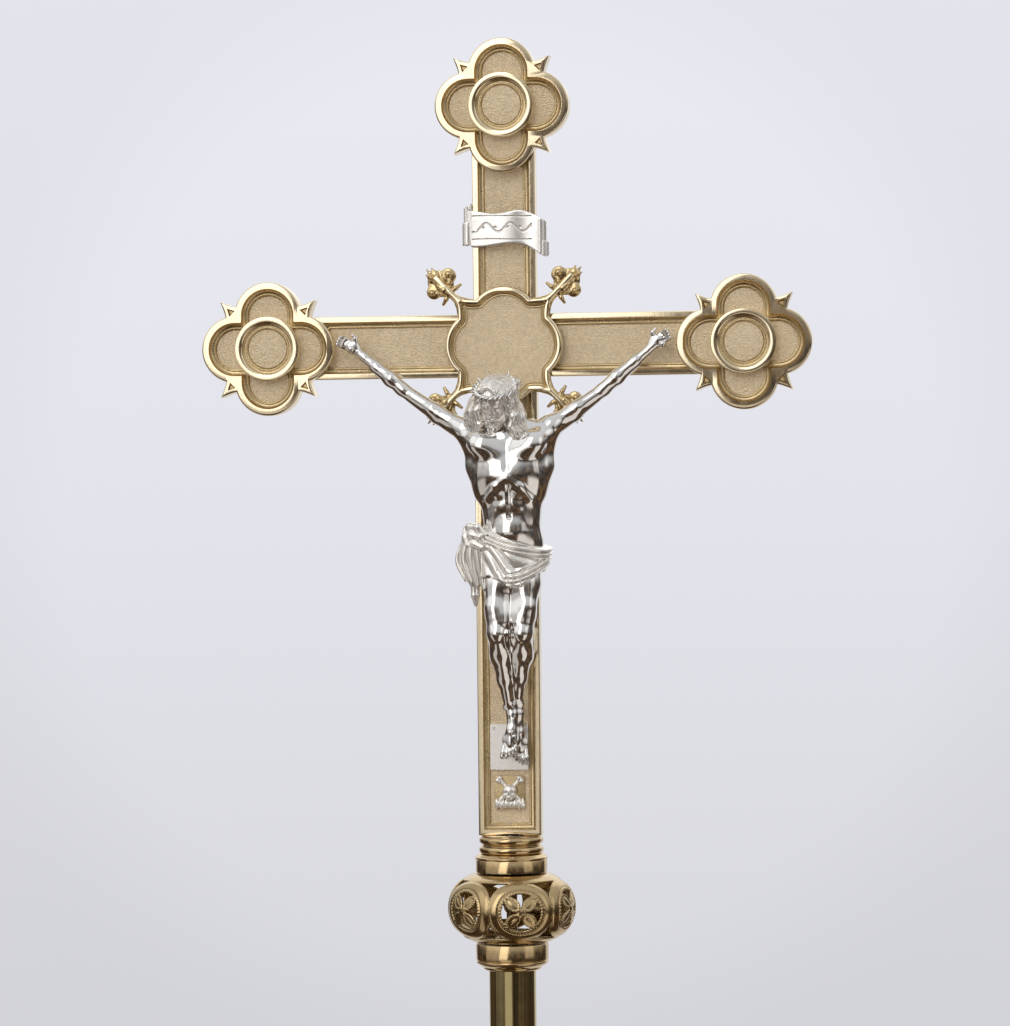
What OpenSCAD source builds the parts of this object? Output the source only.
// Processional cross on a two-section staff.
// Frame: millimetres, +Z up along the staff, front faces -Y, origin under the foot.

/* [Staff] */
// Outside diameter of the staff tubes
tube_d = 28; // [26:0.5:30]
// Wall thickness of the staff tubes
tube_wall = 1.5; // [1:0.25:2]
// Length of each staff section, joint face to joint face
section_l = 650; // [400:10:800]
// Diameter of the foot ferrule, which goes into a floor stand
foot_d = 30; // [29:0.5:34]
// Length of the foot ferrule's plain barrel
foot_l = 60; // [40:5:100]

/* [Screw joints] */
// Radius of the studs
stud_r = 7.95; // [7.9:0.01:7.98]
// Radius of the threaded bores the studs turn in
thread_r = 8; // [8:0.01:8.02]
// Depth to which a stud is screwed in
engage = 18; // [12:1:22]

/* [Head] */
// Reach from the crossing's centre to each medallion's centre
reach = 142.5; // [120:0.5:170]
// Distance from the crossing's centre down to the upright's foot
drop = 291; // [240:1:320]
// Width of the bars
bar_w = 37.5; // [34:0.5:42]
// Thickness of the bars
bar_t = 10; // [9:0.5:12]

/* [Knop and collars] */
// Diameter of the knop
knop_d = 76; // [70:1:84]
// Height of the knop
knop_h = 42; // [38:1:46]
// Diameter of the two collars
collar_d = 43.5; // [40:0.5:46]
// Height of the lower collar
low_collar_h = 16; // [15:0.5:20]
// Height of the upper collar
up_collar_h = 11; // [9:0.5:14]
// Height of the neck ring
neck_h = 11; // [9:0.5:14]

/* [Medallions] */
// Radius of each lobe of an end medallion
lobe_r = 20; // [18:0.25:21]
// Distance of a lobe's centre from its medallion's centre
lobe_off = 20; // [18:0.25:21]
// Outside diameter of a bezel
bezel_d = 37.7; // [34:0.1:40]
// Radius of each lobe of the centre frame
frame_lobe_r = 21; // [19:0.25:22]
// Distance of a lobe's centre from the centre of the frame
frame_lobe_off = 14; // [12:0.25:16]
// Half side of the square that makes the frame's corners
frame_half = 27.5; // [25:0.25:30]

/* [Hidden] */
$fn = 96;
eps = 0.01;

brass = [0.80, 0.64, 0.36];
dull_brass = [0.74, 0.61, 0.40];
silver = [0.84, 0.83, 0.80];
steel = [0.62, 0.62, 0.64];
rubber = [0.10, 0.10, 0.10];
leather = [0.42, 0.26, 0.15];

// Radii of the tubes
tube_r = tube_d / 2;
bore_r = tube_r - tube_wall;
ferrule_r = tube_r + 2.5;
bead_r = ferrule_r + 1.5;

// Heights along the staff
pad_h = 4;
foot_floor = 6;
foot_bead_h = 6;
ferrule_h = 44;
web_h = 8;
washer_h = 2;
mid_z = section_l;
upper_z = mid_z + washer_h;
head_z = 2 * section_l;
tube_in_collar = 2;
bush_lip = 2;
head_washer_h = 1.5;
bush_top_z = head_z + tube_in_collar + bush_lip;
head_stud_z = bush_top_z + head_washer_h;
stud_flange_h = 3.5;
web_z = head_stud_z + stud_flange_h;
boss_l = 26;

// Heights of the head's stack
knop_z = head_z + low_collar_h;
up_collar_z = knop_z + knop_h;
neck_z = up_collar_z + up_collar_h;
bar_z = neck_z + neck_h;
cross_z = bar_z + drop;

// Tie rod
rod_r = 3;
rod_hole_r = 3.05;
rod_in_stud = 17;
rod_in_bar = 7;

// Bars: levels of the front, from rim to sunk floor
front = -bar_t / 2;
back = bar_t / 2;
rim_w = 3.3;
step_w = 5.4;
floor_w = 7.3;
rim_drop = 1.2;
floor_drop = 2.4;
floor_y = front + floor_drop;
bar_end = 20;
field_end = reach - 36.5;
back_panel = 0.8;

// Medallions: levels of the front
med_top = front - 6;
med_floor = front - 3;
med_rim = 3.8;
med_step = 7.6;
tip = 28.6;
barb_root = 12;
barb_out = 26.2;
barb_in = 17.5;
barb_cut = [20.2, 39.6];
barb_cut_r = 13.8;
bezel_top = med_floor - 5.5;
bezel_open_r = 15.2;
bezel_step_r = 13.4;
disc_r = 11.6;
disc_top = med_floor - 3;

// Centre frame: levels of the front
frame_rim = 2.7;
frame_floor = front - 2.5;
frame_top = front - 6;
stem_w = 3.6;
stem_start = 36;
stem_end = 42;

// Knop: shell and its openings
knop_arc = knop_h / 2;
knop_ring = knop_d / 2 - knop_arc;
knop_wall = 1.8;
knop_seat_r = 12;
knop_units = 6;
knop_turn = 16.5;
petal_out = 7.4;
petal_r = 2.6;
corner_tilt = 50;

// Leaf finials
leaf_l = 66;
leaf_mid = 52;

// Title scroll
scroll_z = 69.5;
scroll_w = 50;
scroll_h = 20;
roll_r = 2.4;

// Plates in the upright's sunk field
foot_plate_z = -238.5;
foot_plate_w = 22.8;
foot_plate_h = 27;
emblem_z = -265.5;
emblem_w = 18;
emblem_h = 19.5;
plate_t = 2;

// Corpus: fixings
corpus_screw_z = -78;
foot_x = 3;
foot_nail_z = -229;
hand_x = [-91, 95];
hand_z = -1;

// Corpus: joints of the figure, measured from the crossing's centre
figure_fn = 18;
neck = [2, -25, -52];
crown = [-2, -34, -29];
chin = [-3, -41, -40];
chest = [4, -26, -76];
waist = [6, -25, -97];
hips = [6, -22, -118];
shoulders = [[-17, -20, -55], [24, -20, -53]];
elbows = [[-61, -14, -25], [60, -14, -27]];
wrists = [[-83, -11.5, -6], [86, -11.5, -4]];
fingers = [[-95, -10.5, 1], [99, -10.5, 2]];
thighs = [[-2, -21, -126], [14, -21, -126]];
knees = [[-3, -32, -171], [12, -31, -170]];
ankles = [[1, -15, -214], [6, -12.5, -212]];
toes = [[2, -15, -243], [5, -11, -236]];

// Extrudes a shape drawn in X and Z from y0 back to y1
module slab(y0, y1) {
  translate([0, y1, 0]) rotate([90, 0, 0]) linear_extrude(y1 - y0) children();
}

// Moves to the crossing's centre
module at_cross() {
  translate([0, 0, cross_z]) children();
}

// A straight pin or screw along Y
module pin_y(x, z, r, y0, y1) {
  translate([x, y1, z]) rotate([90, 0, 0]) cylinder(r = r, h = y1 - y0, $fn = 32);
}

// A screw from the back: shank to y0 and a round head behind y1
module back_screw(x, z, r, y0, y1, head_r, head_h) {
  pin_y(x, z, r, y0, y1);
  translate([x, y1, z]) rotate([-90, 0, 0]) difference() {
    cylinder(r1 = head_r, r2 = head_r * 0.72, h = head_h, $fn = 32);
    translate([-head_r, -0.4, head_h * 0.5]) cube([2 * head_r, 0.8, head_h]);
  }
}

// Turned bead of height h and outer radius r, standing on z = 0
module bead(r, h) {
  rotate_extrude() {
    square([r - h / 2, h]);
    translate([r - h / 2, h / 2]) circle(d = h, $fn = 48);
  }
}

module foot_pad() {
  color(rubber) difference() {
    union() {
      cylinder(r1 = foot_d / 2 - 2, r2 = foot_d / 2 - 1, h = 1);
      translate([0, 0, 1]) cylinder(r = foot_d / 2 - 1, h = pad_h - 1);
    }
    foot_screw_shape();
    translate([0, 0, -eps]) cylinder(r = 5, h = 0.8 + 2 * eps);
  }
}

// Countersunk screw that holds the pad
module foot_screw_shape() {
  translate([0, 0, 0.8]) cylinder(r1 = 5, r2 = 2.5, h = 2.6);
  translate([0, 0, 3.4 - eps]) cylinder(r = 2.5, h = 5.6 + eps);
}

module foot_screw() {
  color(steel) difference() {
    foot_screw_shape();
    translate([-5, -0.5, 0.7]) cube([10, 1, 1]);
  }
}

// Cup over the lower tube's end, with a bead that stops it in a stand
module foot_ferrule() {
  color(brass) translate([0, 0, pad_h]) difference() {
    union() {
      cylinder(r1 = foot_d / 2 - 1, r2 = foot_d / 2, h = 1);
      translate([0, 0, 1]) cylinder(r = foot_d / 2, h = foot_l);
      translate([0, 0, 1 + foot_l]) bead(foot_d / 2 + 2.5, foot_bead_h);
    }
    translate([0, 0, foot_floor]) cylinder(r = tube_r, h = foot_l + foot_bead_h);
    translate([0, 0, -eps]) cylinder(r = 2.5, h = foot_floor + 2 * eps);
  }
}

module tube(z0, z1) {
  translate([0, 0, z0]) difference() {
    cylinder(r = tube_r, h = z1 - z0);
    translate([0, 0, -1]) cylinder(r = bore_r, h = z1 - z0 + 2);
  }
}

module lower_tube() {
  color(brass) tube(pad_h + foot_floor, mid_z - web_h);
}

// Ferrule on a tube's end: web at z = 0, skirt and inner boss above it
module ferrule(hole_r) {
  difference() {
    union() {
      bead(bead_r, 6);
      cylinder(r = ferrule_r, h = ferrule_h);
      translate([0, 0, ferrule_h - 5]) bead(bead_r - 0.5, 5);
    }
    difference() {
      translate([0, 0, web_h]) cylinder(r = tube_r, h = ferrule_h);
      cylinder(r = bore_r, h = boss_l);
    }
    translate([0, 0, -1]) cylinder(r = hole_r, h = boss_l + 2);
  }
}

module lower_socket() {
  color(brass) translate([0, 0, mid_z]) mirror([0, 0, 1]) ferrule(thread_r);
}

module washer(z, h, r) {
  translate([0, 0, z]) difference() {
    cylinder(r = r, h = h);
    translate([0, 0, -1]) cylinder(r = thread_r + 0.05, h = h + 2);
  }
}

module mid_washer() {
  color(leather) washer(mid_z, washer_h, ferrule_r - 0.5);
}

// Male stud of the middle joint, soldered into the upper ferrule
module joint_stud() {
  color(steel) translate([0, 0, mid_z - engage]) {
    cylinder(r1 = stud_r - 1, r2 = stud_r, h = 1);
    translate([0, 0, 1]) cylinder(r = stud_r, h = engage - 1 + washer_h + boss_l);
  }
}

module upper_ferrule() {
  color(brass) translate([0, 0, upper_z]) ferrule(stud_r);
}

module upper_tube() {
  color(brass) tube(upper_z + web_h, bush_top_z - bush_lip);
}

// Threaded bush in the staff's top
module staff_top_bush() {
  color(brass) translate([0, 0, bush_top_z]) mirror([0, 0, 1]) difference() {
    union() {
      cylinder(r = tube_r, h = bush_lip);
      translate([0, 0, bush_lip]) cylinder(r = bore_r, h = boss_l);
    }
    translate([0, 0, -1]) cylinder(r = thread_r, h = boss_l + bush_lip + 2);
  }
}

module head_washer() {
  color(leather) washer(bush_top_z, head_washer_h, tube_r - 0.3);
}

// Male stud under the head, tapped for the tie rod
module head_stud() {
  color(steel) difference() {
    union() {
      translate([0, 0, head_stud_z]) cylinder(r = tube_r - 0.5, h = stud_flange_h);
      translate([0, 0, bush_top_z - engage]) cylinder(r1 = stud_r - 1, r2 = stud_r, h = 1);
      translate([0, 0, bush_top_z - engage + 1])
        cylinder(r = stud_r, h = engage - 1 + head_washer_h);
    }
    translate([0, 0, web_z - rod_in_stud]) cylinder(r = rod_r, h = rod_in_stud + 1);
  }
}

// Socket that slides over the staff's top and carries the knop
module lower_collar() {
  r = collar_d / 2;
  color(brass) difference() {
    union() {
      translate([0, 0, head_z]) cylinder(r1 = r - 4.6, r2 = r - 1, h = 3.6);
      translate([0, 0, head_z + 3.6]) cylinder(r = r, h = low_collar_h - 3.6);
      translate([0, 0, knop_z]) cylinder(r = knop_seat_r, h = 1.2);
    }
    translate([0, 0, head_z - 1]) cylinder(r = tube_r + 0.1, h = web_z - head_z + 1);
    translate([0, 0, web_z - 1]) cylinder(r = rod_hole_r, h = low_collar_h + 4);
  }
}

// Pierced shell: round windows on the belt and three-cornered ones between them
module knop() {
  color(brass) translate([0, 0, knop_z + knop_arc]) difference() {
    rotate_extrude($fn = 128) difference() {
      union() {
        translate([knop_ring, 0]) circle(r = knop_arc);
        translate([0, -knop_arc]) square([knop_ring, knop_h]);
      }
      union() {
        translate([knop_ring, 0]) circle(r = knop_arc - knop_wall);
        translate([0, knop_wall - knop_arc]) square([knop_ring, knop_h - 2 * knop_wall]);
      }
      translate([0, -knop_h]) square([knop_seat_r, 2 * knop_h]);
      translate([-knop_d, -knop_h]) square([knop_d, 2 * knop_h]);
    }
    for (i = [0 : knop_units - 1]) rotate(i * 360 / knop_units + knop_turn - 90) {
      for (a = [45 : 90 : 315]) rotate([a, 0, 0]) knop_petal();
      for (s = [-1, 1]) rotate(180 / knop_units) knop_corner(s);
    }
  }
}

// Round opening in a medallion of the knop, facing +X
module knop_petal() {
  translate([20, 0, petal_out]) rotate([0, 90, 0]) cylinder(r = petal_r, h = 22, $fn = 32);
}

// Three-cornered opening between two medallions, above (1) or below (-1) the belt
module knop_corner(s) {
  rotate([0, -s * corner_tilt, 0]) translate([10, 0, 0]) rotate([0, 90, 0])
    linear_extrude(30) polygon([[s * 5, 0], [-s * 3, 4.6], [-s * 3, -4.6]]);
}

module tie_rod() {
  z0 = web_z - rod_in_stud;
  color(steel) translate([0, 0, z0]) cylinder(r = rod_r, h = bar_z + rod_in_bar - z0);
}

module upper_collar() {
  r = collar_d / 2;
  color(brass) difference() {
    union() {
      translate([0, 0, up_collar_z]) cylinder(r = r, h = up_collar_h - 3.5);
      translate([0, 0, neck_z - 3.5]) cylinder(r1 = r, r2 = r - 2.2, h = 3.5);
      translate([0, 0, up_collar_z - 1.2]) cylinder(r = knop_seat_r, h = 1.2);
    }
    translate([0, 0, up_collar_z - 4]) cylinder(r = rod_hole_r, h = up_collar_h + 8);
  }
}

module neck_ring() {
  color(brass) translate([0, 0, neck_z]) difference() {
    union() {
      bead(19.2, neck_h / 2);
      translate([0, 0, neck_h / 2]) bead(19.2, neck_h / 2);
    }
    translate([0, 0, -1]) cylinder(r = rod_hole_r, h = neck_h + 2);
  }
}

// Sunk field between two ends, drawn along Z: a shallow step and a deeper floor
module field(z0, z1) {
  slab(front - 1, front + rim_drop) field_shape(z0, z1, rim_w);
  slab(front - 1, front + (rim_drop + floor_drop) / 2) field_shape(z0, z1, step_w);
  slab(front - 1, floor_y) field_shape(z0, z1, floor_w);
}

module field_shape(z0, z1, inset) {
  translate([-bar_w / 2 + inset, z0 + inset]) square([bar_w - 2 * inset, z1 - z0 - 2 * inset]);
}

// Shallow panel on the back
module back_field(z0, z1) {
  slab(back - back_panel, back + 1) field_shape(z0, z1, 5);
}

module cross_upright() {
  color(brass) at_cross() difference() {
    slab(front, back) translate([-bar_w / 2, -drop]) square([bar_w, drop + reach + bar_end]);
    field(-drop, -16);
    field(16, reach - 8);
    back_field(-drop, -24);
    back_field(24, reach - 30);
    slab(front - 1, 0) square(bar_w, center = true);
    pin_y(0, reach, 2, front - 1, back + 1);
    centre_holes();
    pin_y(0, corpus_screw_z, 2, front - 1, back + 1);
    pin_y(foot_x, foot_nail_z, 1.2, front - 1, back - 2);
    plate_pin_set(front - 1, 0);
    scroll_pin_set(front - 1, 0);
    translate([0, 0, -drop - 1]) cylinder(r = rod_r, h = rod_in_bar + 1);
  }
}

module cross_beam() {
  color(brass) at_cross() difference() {
    slab(front, back)
      translate([-reach - bar_end, -bar_w / 2]) square([2 * (reach + bar_end), bar_w]);
    for (a = [90, -90]) rotate([0, a, 0]) {
      field(16, field_end + rim_w);
      back_field(24, reach - 30);
      pin_y(0, reach, 2, front - 1, back + 1);
    }
    slab(0, back + 1) square(bar_w, center = true);
    centre_holes();
    hand_nail_set(front - 1, back - 2);
  }
}

// Outline of an end medallion
module medallion_outline() {
  for (a = [0 : 90 : 270]) rotate(a) {
    translate([lobe_off, 0]) circle(r = lobe_r);
    barb();
  }
}

// One concave-sided spike between two lobes
module barb() {
  difference() {
    polygon([[barb_root, barb_root], [barb_out, barb_in], [tip, tip], [barb_in, barb_out]]);
    translate(barb_cut) circle(r = barb_cut_r);
    translate([barb_cut.y, barb_cut.x]) circle(r = barb_cut_r);
  }
}

module medallion_sink(inset, middle_r) {
  for (a = [0 : 90 : 270]) rotate(a) translate([lobe_off, 0]) circle(r = lobe_r - inset);
  circle(r = middle_r);
}

// End medallion, with its bar coming in from below
module medallion() {
  difference() {
    slab(med_top, 0) medallion_outline();
    slab(med_top - 1, med_top + 1.4) medallion_sink(med_rim, 20.5);
    slab(med_top - 1, med_floor) medallion_sink(med_step, bezel_d / 2 + 0.05);
    slab(front, 1) translate([-bar_w / 2, -60]) square([bar_w, 60 + bar_end]);
    for (a = [45 : 90 : 315])
      slab(med_top - 1, med_top + 1.6) rotate(a) translate([32, 0]) circle(r = 1.5, $fn = 3);
    pin_y(0, 0, 2, med_top - 3, 1);
  }
}

// Raised ring on a medallion, stepped inside down to its disc
module bezel() {
  difference() {
    slab(bezel_top, med_floor) circle(d = bezel_d);
    slab(bezel_top - 1, bezel_top + 1.2) circle(r = bezel_open_r);
    slab(bezel_top - 1, bezel_top + 1.9) circle(r = bezel_step_r);
    slab(bezel_top - 1, med_floor + 1) circle(r = disc_r);
  }
}

module disc() {
  difference() {
    slab(disc_top, med_floor) circle(r = disc_r);
    pin_y(0, 0, 2, disc_top + 0.8, med_floor + 1);
  }
}

// Places a piece drawn for the top medallion on the top (0), left (-90) or right (90)
module on_arm(angle) {
  at_cross() rotate([0, angle, 0]) translate([0, 0, reach]) children();
}

module top_medallion() { color(brass) on_arm(0) medallion(); }
module left_medallion() { color(brass) on_arm(-90) medallion(); }
module right_medallion() { color(brass) on_arm(90) medallion(); }
module top_bezel() { color(brass) on_arm(0) bezel(); }
module left_bezel() { color(brass) on_arm(-90) bezel(); }
module right_bezel() { color(brass) on_arm(90) bezel(); }
module top_disc() { color(dull_brass) on_arm(0) disc(); }
module left_disc() { color(dull_brass) on_arm(-90) disc(); }
module right_disc() { color(dull_brass) on_arm(90) disc(); }

module medallion_screws() {
  color(brass) for (a = [-90, 0, 90])
    on_arm(a) back_screw(0, 0, 2, disc_top + 0.8, back, 4, 2);
}

// Outline of the centre frame, drawn in by inset
module frame_shape(inset) {
  for (a = [0 : 90 : 270]) rotate(a)
    translate([frame_lobe_off, 0]) circle(r = frame_lobe_r - inset);
  square(2 * (frame_half - inset), center = true);
}

module centre_frame() {
  color(brass) at_cross() difference() {
    slab(frame_top, front) {
      frame_shape(0);
      for (a = [45 : 90 : 315]) rotate(a)
        translate([stem_start, -stem_w / 2]) square([stem_end - stem_start, stem_w]);
    }
    slab(frame_top - 1, front + 1) frame_shape(frame_rim);
  }
}

module centre_plate() {
  color(dull_brass) at_cross() difference() {
    slab(frame_floor, front) frame_shape(frame_rim);
    centre_holes();
  }
}

// Holes for the four screws that hold the crossing together
module centre_holes() {
  for (x = [-12, 12], z = [-12, 12]) pin_y(x, z, 1.5, frame_floor + 0.7, back + 1);
}

module centre_screws() {
  color(brass) at_cross() for (x = [-12, 12], z = [-12, 12])
    back_screw(x, z, 1.5, frame_floor + 0.7, back, 3, 1.5);
}

// Five-lobed ivy leaf on a stem that grows along +X from the frame's corner
module leaf() {
  slab(front - 4.6, front - 1.6) {
    translate([stem_end, -stem_w / 2]) square([leaf_mid - stem_end, stem_w]);
    for (a = [-125, -62, 0, 62, 125]) translate([leaf_mid, 0]) rotate(a)
      translate([5.4, 0]) circle(r = 4.4, $fn = 40);
    polygon([[leaf_mid + 4, -3.5], [leaf_l, 0], [leaf_mid + 4, 3.5]]);
    translate([stem_end + 3.2, 4.6]) circle(r = 2, $fn = 24);
    translate([stem_end + 2, 1]) square([2.4, 3.2]);
  }
}

module leaf_at(angle) {
  color(brass) at_cross() rotate([0, -angle, 0]) leaf();
}

module leaf_upper_right() { leaf_at(45); }
module leaf_upper_left() { leaf_at(135); }
module leaf_lower_left() { leaf_at(225); }
module leaf_lower_right() { leaf_at(315); }

// Title scroll: a wavy band with a rolled end on each side
module title_scroll() {
  color(silver) at_cross() translate([0, 0, scroll_z]) difference() {
    union() {
      slab(front - 2, front) scroll_outline();
      translate([-scroll_w / 2, front - roll_r, -scroll_h / 2 - 0.5]) scroll_roll();
      translate([scroll_w / 2, front - roll_r, -scroll_h / 2 - 4]) scroll_roll();
    }
    translate([0, 0, -scroll_z]) scroll_pin_set(front - 5, front + 1);
  }
}

// Rolled end of the scroll
module scroll_roll() {
  cylinder(r = roll_r, h = scroll_h + 4.5, $fn = 32);
}

module scroll_outline() {
  difference() {
    translate([-scroll_w / 2, -scroll_h / 2 - 1]) square([scroll_w, scroll_h + 2]);
    translate([10, scroll_h / 2 + 26]) circle(r = 26);
    translate([-10, -scroll_h / 2 - 26]) circle(r = 26);
  }
}

module scroll_pin_set(y0, y1) {
  for (x = [-16.5, 16.5]) pin_y(x, scroll_z, 1, y0, y1);
}

module scroll_pins() {
  color(silver) at_cross() {
    scroll_pin_set(front - 2.2, 0);
    for (x = [-16.5, 16.5]) pin_y(x, scroll_z, 1.5, front - 2.8, front - 2);
  }
}

// Tapered limb between two points
module limb(a, ra, b, rb) {
  hull() {
    translate(a) sphere(r = ra, $fn = figure_fn);
    translate(b) sphere(r = rb, $fn = figure_fn);
  }
}

module corpus() {
  color(silver) at_cross() {
    limb(crown, 13.5, chin, 9);
    limb(neck, 9, crown, 8);
    hull() {
      for (s = shoulders) translate(s + [0, 0, -5]) sphere(r = 8.5, $fn = figure_fn);
      translate(chest) sphere(r = 14, $fn = figure_fn);
    }
    for (s = [-7, 7]) limb(chest + [s, 0, 0], 13, waist + [s, 0, 0], 10);
    for (s = [-7, 7]) limb(waist + [s, 0, 0], 10, hips + [s, 0, 0], 12.5);
    limb(hips + [-5, 0, 0], 14, hips + [4, -3, -18], 12);
    limb(hips + [-24, 0, 2], 5.5, hips + [-24, 2, -28], 5);
    for (i = [0, 1]) {
      limb(shoulders[i], 8, elbows[i], 4.8);
      limb(elbows[i], 4.8, wrists[i], 3);
      limb(wrists[i], 3, fingers[i], 3.2);
      limb(thighs[i], 10, knees[i], 6.8);
      limb(knees[i], 6.8, ankles[i], 3.6);
      limb(ankles[i], 3.6, toes[i], 3.2);
    }
    // casting boss behind the chest, which stands on the upright's floor
    pin_y(0, corpus_screw_z, 5, -24, floor_y);
  }
}

module corpus_screw() {
  color(brass) at_cross() back_screw(0, corpus_screw_z, 2, -18, back, 4, 2);
}

module hand_nail_set(y0, y1) {
  for (x = hand_x) pin_y(x, hand_z, 1.2, y0, y1);
}

module hand_nails() {
  color(silver) at_cross() {
    hand_nail_set(-14.5, back - 2);
    for (x = hand_x) translate([x, -14.5, hand_z]) sphere(r = 2, $fn = 32);
  }
}

module foot_nail() {
  color(silver) at_cross() {
    pin_y(foot_x, foot_nail_z, 1.2, -19.5, back - 2);
    translate([foot_x, -19.5, foot_nail_z]) sphere(r = 2, $fn = 32);
  }
}

module foot_plate() {
  color(silver) at_cross() difference() {
    slab(floor_y - plate_t, floor_y)
      translate([-foot_plate_w / 2, foot_plate_z - foot_plate_h / 2])
        square([foot_plate_w, foot_plate_h]);
    plate_pin_set(front - 3, 0);
    pin_y(foot_x, foot_nail_z, 1.2, front - 3, 0);
  }
}

// Skull over two crossed bones on a small plate
module skull_emblem() {
  y = floor_y - plate_t;
  color(silver) at_cross() difference() {
    union() {
      slab(y, floor_y) translate([-emblem_w / 2, emblem_z - emblem_h / 2])
        square([emblem_w, emblem_h]);
      translate([0, y, emblem_z + 1.6]) sphere(r = 4.4, $fn = 48);
      slab(y - 2.6, y) translate([0, emblem_z - 2]) square([4.4, 3.6], center = true);
      for (s = [-1, 1]) translate([0, y, emblem_z - 4.2]) rotate([0, s * 62, 0])
        cylinder(r = 1.3, h = 15, center = true, $fn = 32);
    }
    slab(floor_y, floor_y + 6) translate([-10, emblem_z - 12]) square([20, 24]);
    plate_pin_set(front - 3, 0);
  }
}

module plate_pin_set(y0, y1) {
  for (x = [-9.2, 9.2]) pin_y(x, foot_plate_z + 11, 0.8, y0, y1);
  for (x = [-7.2, 7.2]) pin_y(x, emblem_z + 8, 0.8, y0, y1);
}

module plate_pins() {
  color(silver) at_cross() plate_pin_set(floor_y - plate_t - 0.5, 0);
}

foot_pad();
foot_screw();
foot_ferrule();
lower_tube();
lower_socket();
mid_washer();
joint_stud();
upper_ferrule();
upper_tube();
staff_top_bush();
head_washer();
head_stud();
lower_collar();
knop();
tie_rod();
upper_collar();
neck_ring();
cross_upright();
cross_beam();
top_medallion();
left_medallion();
right_medallion();
top_bezel();
left_bezel();
right_bezel();
top_disc();
left_disc();
right_disc();
medallion_screws();
centre_frame();
centre_plate();
centre_screws();
leaf_upper_left();
leaf_upper_right();
leaf_lower_left();
leaf_lower_right();
title_scroll();
scroll_pins();
corpus();
corpus_screw();
hand_nails();
foot_nail();
foot_plate();
skull_emblem();
plate_pins();
